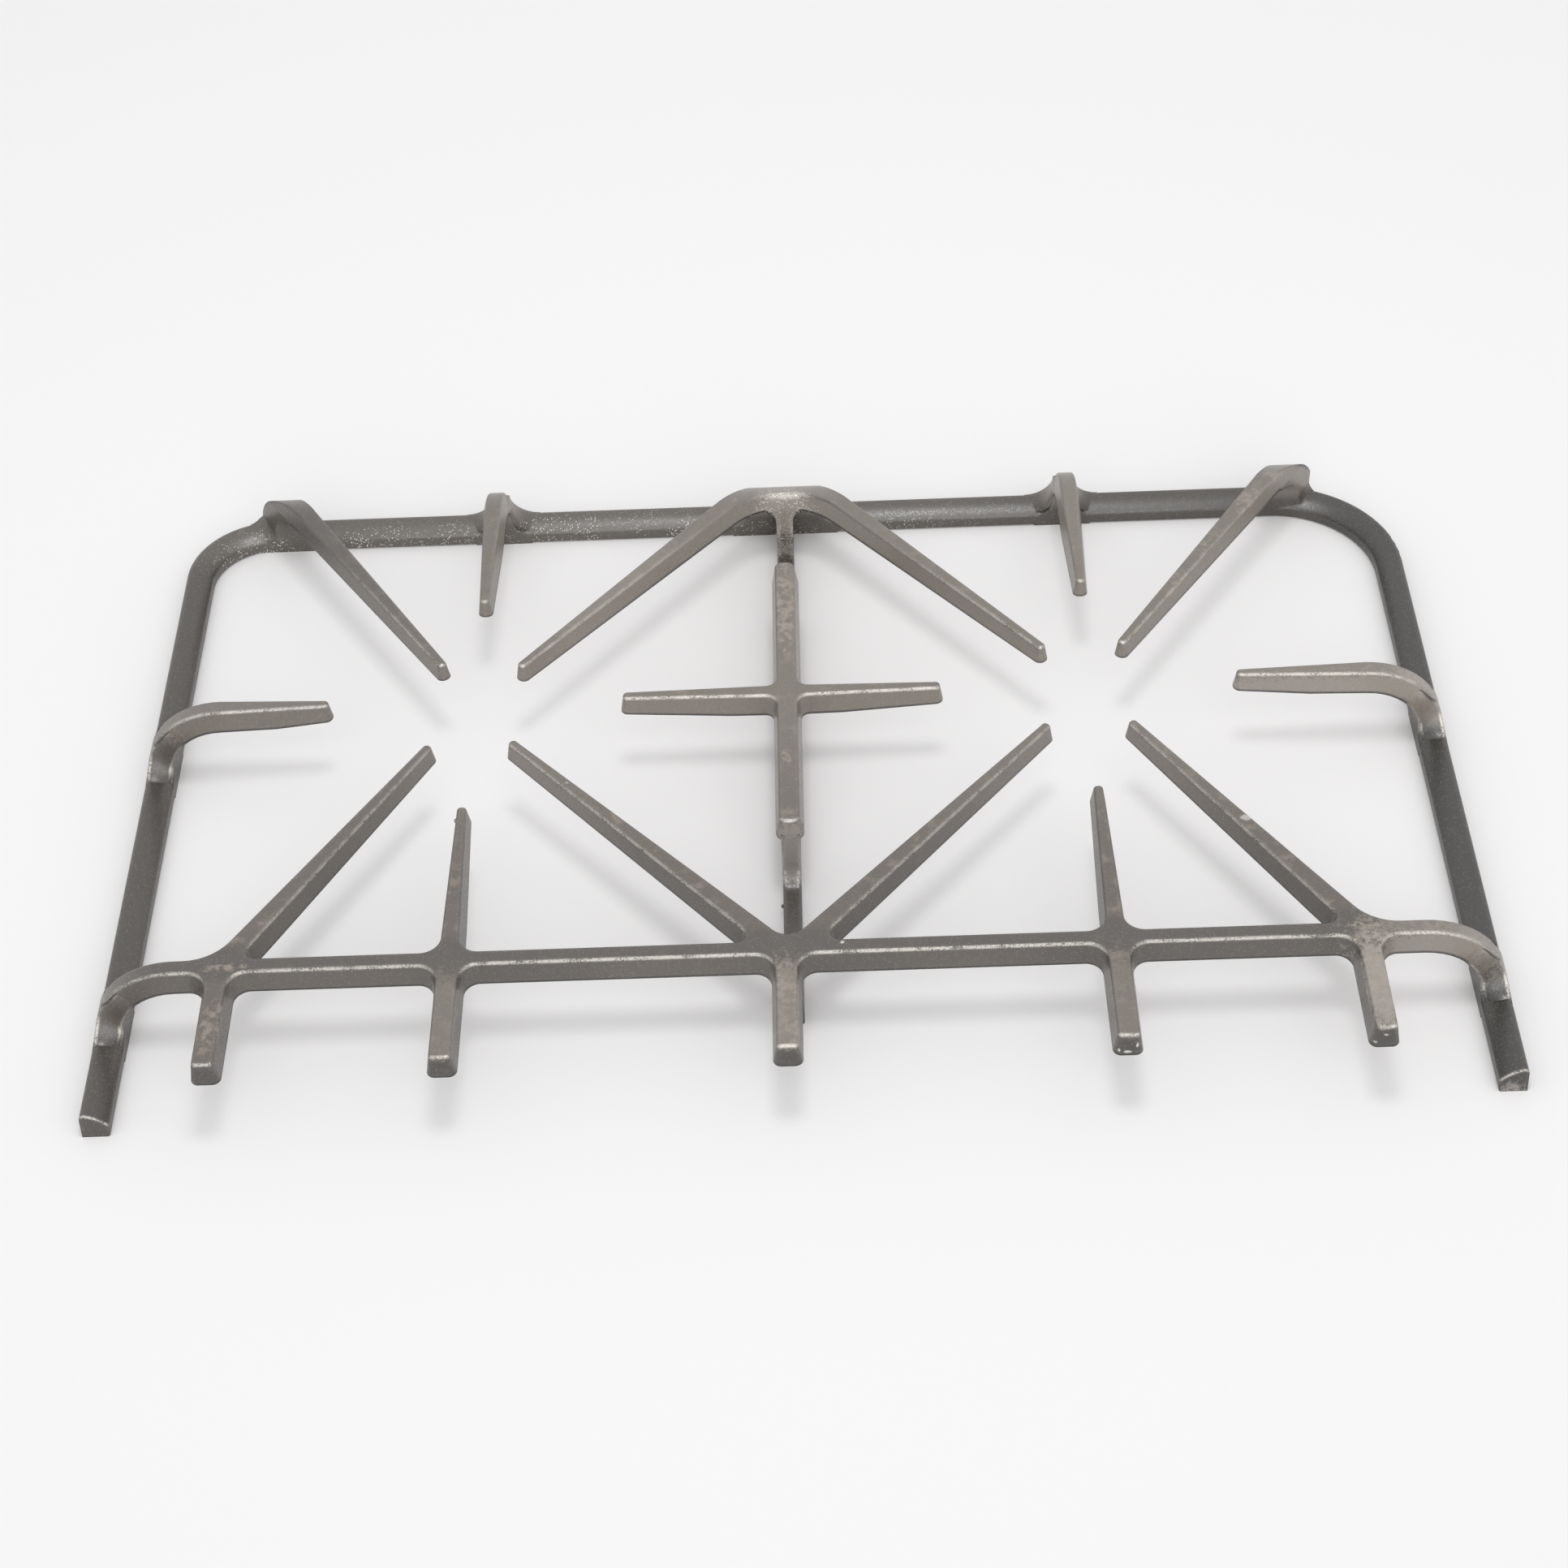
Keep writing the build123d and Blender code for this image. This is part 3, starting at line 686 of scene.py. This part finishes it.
@dataclass
class PanSupport:
    """The casting: a floor rail, elbows, raised bars and fingers, in one piece.

    The web's rings are its height, half width, front and depth, and a nub is its centre and radius.
    """

    finish: CastIron = field(default_factory=CastIron)
    nubs_mm: tuple[tuple[float, float, float, float], ...] = (
        (-116.8, -39.3, 29.0, 0.8), (-4.9, -61.5, 4.0, 0.7), (2.8, -47.0, 29.0, 0.6))
    nub_stretch: tuple[float, float, float] = (1.0, 1.35, 0.8)
    nub_softness: float = 0.4
    web_mm: tuple[tuple[float, float, float, float], ...] = (
        (8.0, 3.25, 130.4, 4.0), (12.0, 3.25, 129.7, 4.0), (14.5, 3.35, 129.2, 4.5), (17.0, 3.6, 128.3, 5.0),
        (19.5, 4.2, 127.2, 6.0), (22.0, 5.2, 126.0, 6.0), (24.0, 6.6, 125.0, 6.0), (25.5, 8.2, 124.5, 6.0),
        (27.0, 9.2, 124.2, 6.0), (29.0, 9.4, 124.3, 6.0), (31.0, 9.4, 124.7, 5.5), (32.0, 9.2, 125.1, 3.8),
        (32.6, 8.8, 125.7, 1.6), (32.85, 8.2, 126.5, 0.2))
    web_centre_mm: float = -1.5
    flares: tuple[Flare, ...] = (
        Flare("left_foot_flare", (LEFT_MM, 16.35), (-1.0, 0.0)),
        Flare("right_foot_flare", (RIGHT_MM, 16.35), (1.0, 0.0)),
        Flare("front_left_foot_flare", (LEFT_MM, -107.15), (-1.0, 0.0), half_width=4.3),
        Flare("front_right_foot_flare", (RIGHT_MM, -107.15), (1.0, 0.0), half_width=4.3),
        Flare("back_left_foot_flare", (-113.0, BACK_MM), (0.0, 1.0), spread=11.0, rise=12.0),
        Flare("back_right_foot_flare", (107.8, BACK_MM), (0.0, 1.0), spread=11.0, rise=12.0),
    )
    glint_patch: Mark = Mark(MarkKind.BARE, (-92.0, 144.0, 6.2), (24.0, 5.0, 3.0), 1.0)
    web_shine: Mark = Mark(MarkKind.BARE, (-1.5, 126.0, 22.0), (14.0, 12.0, 22.0), 1.0)
    marks: tuple[Mark, ...] = (
        Mark(MarkKind.TAN, (-1.6, 49.5, 34.5), (2.0, 2.4, 1.5), 0.6),
        Mark(MarkKind.TAN, (-2.0, -18.0, 34.5), (2.0, 5.0, 1.5), 0.7),
        Mark(MarkKind.CHIP, (-78.1, -28.0, 33.0), (1.8, 1.4, 1.6), 0.7),
        Mark(MarkKind.CHIP, (153.0, -55.6, 34.5), (2.2, 1.6, 1.6), 0.7),
        Mark(MarkKind.CHIP, (19.6, -84.5, 30.0), (0.9, 0.9, 1.0), 0.9),
        Mark(MarkKind.CHIP, (15.0, -105.9, 34.5), (0.7, 0.7, 0.8), 0.9),
        Mark(MarkKind.TAN, (-20.1, 121.7, 34.0), (1.6, 2.0, 1.5), 0.7),
        Mark(MarkKind.BARE, (-1.5, 125.0, 22.0), (12.0, 10.0, 20.0), 0.6),
        Mark(MarkKind.PALE, (190.0, 16.0, 30.0), (75.0, 14.0, 22.0), 0.8),
        Mark(MarkKind.PALE, (212.0, -107.0, 28.0), (34.0, 14.0, 22.0), 0.8),
        Mark(MarkKind.PALE, (104.0, 120.0, 30.0), (14.0, 60.0, 22.0), 0.35),
        Mark(MarkKind.PALE, (-3.5, -135.0, 34.5), (9.0, 26.0, 2.5), 0.9),
        Mark(MarkKind.PALE, (-114.5, -136.0, 34.5), (9.0, 24.0, 2.5), 0.55),
        Mark(MarkKind.PALE, (104.5, -136.0, 34.5), (9.0, 24.0, 2.5), 0.5),
        Mark(MarkKind.PALE, (-195.0, 16.0, 30.0), (45.0, 14.0, 12.0), 0.6),
        Mark(MarkKind.BARE, (190.0, 12.0, 27.5), (75.0, 14.0, 7.0), 0.55),
        Mark(MarkKind.BARE, (206.0, -111.0, 28.0), (28.0, 12.0, 7.0), 0.45),
        Mark(MarkKind.BARE, (-60.0, 70.0, 30.0), (50.0, 40.0, 12.0), 0.25),
        # lighter cross leg: bare iron with a painted sheen
        Mark(MarkKind.BARE, (-1.5, -52.0, 22.0), (8.0, 5.0, 20.0), 0.6),
        Mark(MarkKind.TAN, (186.9, -110.5, 34.5), (8.0, 7.0, 2.0), 0.8),
        Mark(MarkKind.TAN, (203.8, -107.0, 34.5), (9.0, 4.0, 3.0), 0.6),
        Mark(MarkKind.TAN, (186.4, -130.6, 34.5), (5.0, 17.0, 2.0), 0.9),
        Mark(MarkKind.TAN, (-188.4, -132.2, 34.5), (4.5, 11.0, 2.0), 0.7),
        Mark(MarkKind.TAN, (-187.9, -108.4, 34.5), (9.0, 1.8, 2.0), 0.8),
        Mark(MarkKind.BARE, (186.4, -130.6, 34.5), (7.0, 24.0, 2.5), 0.8),
        Mark(MarkKind.BARE, (230.3, -149.9, 4.0), (6.0, 1.4, 6.0), 0.7),
        Mark(MarkKind.CHIP, (182.5, -150.4, 28.0), (0.9, 1.2, 0.7), 0.8),
        Mark(MarkKind.CHIP, (186.0, -150.4, 31.0), (1.4, 1.2, 0.6), 0.8),
        Mark(MarkKind.CHIP, (101.5, -150.4, 28.2), (0.7, 1.2, 0.7), 0.9),
        Mark(MarkKind.CHIP, (104.4, -150.4, 27.6), (1.2, 1.2, 0.6), 0.9),
        Mark(MarkKind.CHIP, (107.4, -150.4, 30.4), (0.7, 1.2, 1.4), 0.9),
        Mark(MarkKind.TAN, (-3.5, -135.0, 34.5), (7.0, 22.0, 2.5), 0.7),
        Mark(MarkKind.TAN, (-1.6, 62.0, 34.5), (4.0, 30.0, 2.0), 0.95),
        Mark(MarkKind.TAN, (190.0, 126.0, 34.0), (8.0, 10.0, 3.0), 0.7),
        Mark(MarkKind.TAN, (177.0, 106.0, 34.5), (8.0, 12.0, 2.0), 0.8),
        Mark(MarkKind.TAN, (161.0, 83.0, 34.5), (8.0, 12.0, 2.0), 0.8),
        Mark(MarkKind.TAN, (145.0, 60.0, 34.5), (8.0, 12.0, 2.0), 0.8),
        Mark(MarkKind.CHIP, (191.0, 124.0, 33.8), (0.9, 1.2, 1.0), 0.8),
        Mark(MarkKind.CHIP, (197.0, 132.0, 32.5), (0.8, 0.9, 1.0), 0.8),
    )

    def build(self) -> None:
        """Dresses the casting and adds its nubs, the web under the back V and the flares of its feet."""
        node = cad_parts["pan_support"]
        material = Enamel(self.finish, self.marks, self.web_shine, self.glint_patch).build()
        node.data.materials.clear()
        node.data.materials.append(material)
        LOG.info("dressed %s, %d faces", node.name, len(node.data.polygons))
        for number, (x, y, z, radius) in enumerate(self.nubs_mm, 1):
            self.nub(f"casting_nub_{number}", Vector((x, y, z)) * MM, radius * MM, material)
        self.apex_web(material)
        for flare in self.flares:
            self.place(flare.mesh(), flare.name, material)

    def place(self, made: bmesh.types.BMesh, name: str, material: bpy.types.Material) -> None:
        """Turns a mesh into a piece of the casting.

        Args:
            made: The mesh, which is freed.
            name: Object name.
            material: Finish of the casting.
        """
        mesh = bpy.data.meshes.new(name)
        made.to_mesh(mesh)
        made.free()
        mesh.shade_smooth()
        mesh.materials.append(material)
        piece = bpy.data.objects.new(name, mesh)
        bpy.context.scene.collection.objects.link(piece)
        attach(piece, "root")
        LOG.info("made %s", name)

    def apex_web(self, material: bpy.types.Material, segments: int = 24) -> None:
        """Adds the fairing that flares from the low centre bar up into the inner side of the back V.

        Args:
            material: Finish of the casting.
            segments: Steps across the front.
        """
        made = bmesh.new()
        rings = []
        for z, half_width, front, depth in self.web_mm:
            ring = []
            for step in range(segments + 1):
                turn = math.pi * (step / segments - 0.5)
                across = math.copysign(math.sqrt(abs(math.sin(turn))), turn) * half_width
                behind = (1 - math.sqrt(abs(math.cos(turn)))) * depth
                ring.append(made.verts.new(Vector((self.web_centre_mm + across, front + behind, z)) * MM))
            rings.append(ring)
        for lower, upper in zip(rings, rings[1:]):
            for step in range(-1, segments):
                made.faces.new((lower[step], lower[step + 1], upper[step + 1], upper[step]))
        made.faces.new(rings[0][::-1])
        made.faces.new(rings[-1])
        bmesh.ops.recalc_face_normals(made, faces=made.faces)
        self.place(made, "apex_web", material)

    def nub(self, name: str, place: Vector, radius: float, material: bpy.types.Material) -> None:
        """Adds a small nub of flash left on a bar's side.

        Args:
            name: Object name.
            place: Centre, in metres.
            radius: Size, in metres.
            material: Finish of the casting.
        """
        made = bmesh.new()
        bmesh.ops.create_icosphere(made, subdivisions=2, radius=radius)
        bmesh.ops.scale(made, vec=self.nub_stretch, verts=made.verts)
        bmesh.ops.smooth_vert(made, verts=made.verts, factor=self.nub_softness, use_axis_x=True,
                              use_axis_y=True, use_axis_z=True)
        bmesh.ops.translate(made, vec=place, verts=made.verts)
        self.place(made, name, material)


@dataclass
class Studio:
    """Pale floor, a soft overhead lamp and a wide light from the front."""

    floor_size: float = 6.0
    floor_colour: str = "f4f3f3"
    floor_roughness: float = 0.9
    floor_sheen: float = 0.1
    world_strength: float = 0.72
    overhead_place: tuple[float, float, float] = (0.03, -0.1, 1.18)
    overhead_power: float = 2.3
    overhead_size: float = 0.28
    front_place: tuple[float, float, float] = (0.2, -1.6, 1.1)
    front_power: float = 1.0
    front_spread: float = 60.0

    def build(self) -> None:
        """Makes the floor, the lights and the world."""
        self.floor()
        overhead = bpy.data.lights.new("overhead", "AREA")
        overhead.size = self.overhead_size
        self.hang(overhead, Vector(self.overhead_place), self.overhead_power)
        front = bpy.data.lights.new("front", "SUN")
        front.angle = math.radians(self.front_spread)
        self.hang(front, Vector(self.front_place), self.front_power)
        self.world()
        LOG.info("made the studio")

    def floor(self) -> None:
        """Makes the floor under the rail."""
        made = bmesh.new()
        bmesh.ops.create_grid(made, x_segments=4, y_segments=4, size=self.floor_size / 2)
        mesh = bpy.data.meshes.new("floor")
        made.to_mesh(mesh)
        made.free()
        material = bpy.data.materials.new("matt_white_paper")
        material.use_nodes = True
        surface = material.node_tree.nodes["Principled BSDF"]
        surface.inputs["Base Color"].default_value = linear(self.floor_colour)
        surface.inputs["Roughness"].default_value = self.floor_roughness
        surface.inputs["Specular IOR Level"].default_value = self.floor_sheen
        mesh.materials.append(material)
        piece = bpy.data.objects.new("floor", mesh)
        bpy.context.scene.collection.objects.link(piece)

    def hang(self, lamp: bpy.types.Light, place: Vector, power: float) -> None:
        """Places a light so that it faces the origin.

        Args:
            lamp: The light.
            place: Where it hangs, in metres.
            power: Watts, or watts per square metre for a distant light.
        """
        lamp.energy = power
        holder = bpy.data.objects.new(lamp.name, lamp)
        turn = (-place).to_track_quat("-Z", "Y").to_matrix().to_4x4()
        holder.matrix_world = Matrix.Translation(place) @ turn
        bpy.context.scene.collection.objects.link(holder)

    def world(self) -> None:
        """Makes an even white surround, seen as white by the camera and by reflections."""
        world = bpy.data.worlds.new("studio")
        bpy.context.scene.world = world
        world.use_nodes = True
        tree = world.node_tree
        tree.nodes.clear()
        path = add_node(tree, "LightPath")
        seen = add_node(tree, "Math", {0: path.outputs["Is Camera Ray"], 1: path.outputs["Is Glossy Ray"]},
                        operation="MAXIMUM")
        seen = add_node(tree, "Math", {0: seen.outputs[0], 1: path.outputs["Is Transmission Ray"]},
                        operation="MAXIMUM")
        strength = add_node(tree, "MapRange", {"Value": seen.outputs[0], "To Min": self.world_strength,
                            "To Max": 1.0})
        back = add_node(tree, "Background", {"Color": (1, 1, 1, 1), "Strength": strength.outputs[0]})
        add_node(tree, "OutputWorld", {"Surface": back.outputs[0]})


@dataclass
class PhotoCamera:
    """Camera at the photograph's viewing angle, for an image of 1932 by 1932 pixels."""

    image_px: float = 1932.0
    focal_px: float = 3553.0
    pitch_deg: float = 45.24
    yaw_deg: float = -1.32
    roll_deg: float = -2.89
    eye_mm: tuple[float, float, float] = (13.03, -732.97, 741.30)
    sensor_mm: float = 36.0
    nearest: float = 0.01

    def build(self) -> None:
        """Makes the camera and sets it as the scene's."""
        pitch, yaw, roll = (math.radians(a) for a in (self.pitch_deg, self.yaw_deg, self.roll_deg))
        ahead = Vector((math.sin(yaw) * math.cos(pitch), math.cos(yaw) * math.cos(pitch), -math.sin(pitch)))
        level = Vector((math.cos(yaw), -math.sin(yaw), 0.0))
        upward = level.cross(ahead)
        right = math.cos(roll) * level + math.sin(roll) * upward
        upward = right.cross(ahead)
        lens = bpy.data.cameras.new("photo_camera")
        lens.sensor_width = self.sensor_mm
        lens.lens = lens.sensor_width * self.focal_px / self.image_px
        lens.clip_start = self.nearest
        holder = bpy.data.objects.new("photo_camera", lens)
        turn = Matrix((right, upward, -ahead)).transposed().to_4x4()
        holder.matrix_world = Matrix.Translation(Vector(self.eye_mm) * MM) @ turn
        bpy.context.scene.collection.objects.link(holder)
        bpy.context.scene.camera = holder
        LOG.info("made the camera, %.1f mm lens", lens.lens)


def main() -> None:
    """Builds the scene."""
    logging.basicConfig(level=logging.INFO, format="%(name)s: %(message)s")
    bpy.context.scene.view_settings.view_transform = "Standard"
    PhotoCamera().build()
    PanSupport().build()
    Studio().build()


if __name__ == "__main__":
    main()
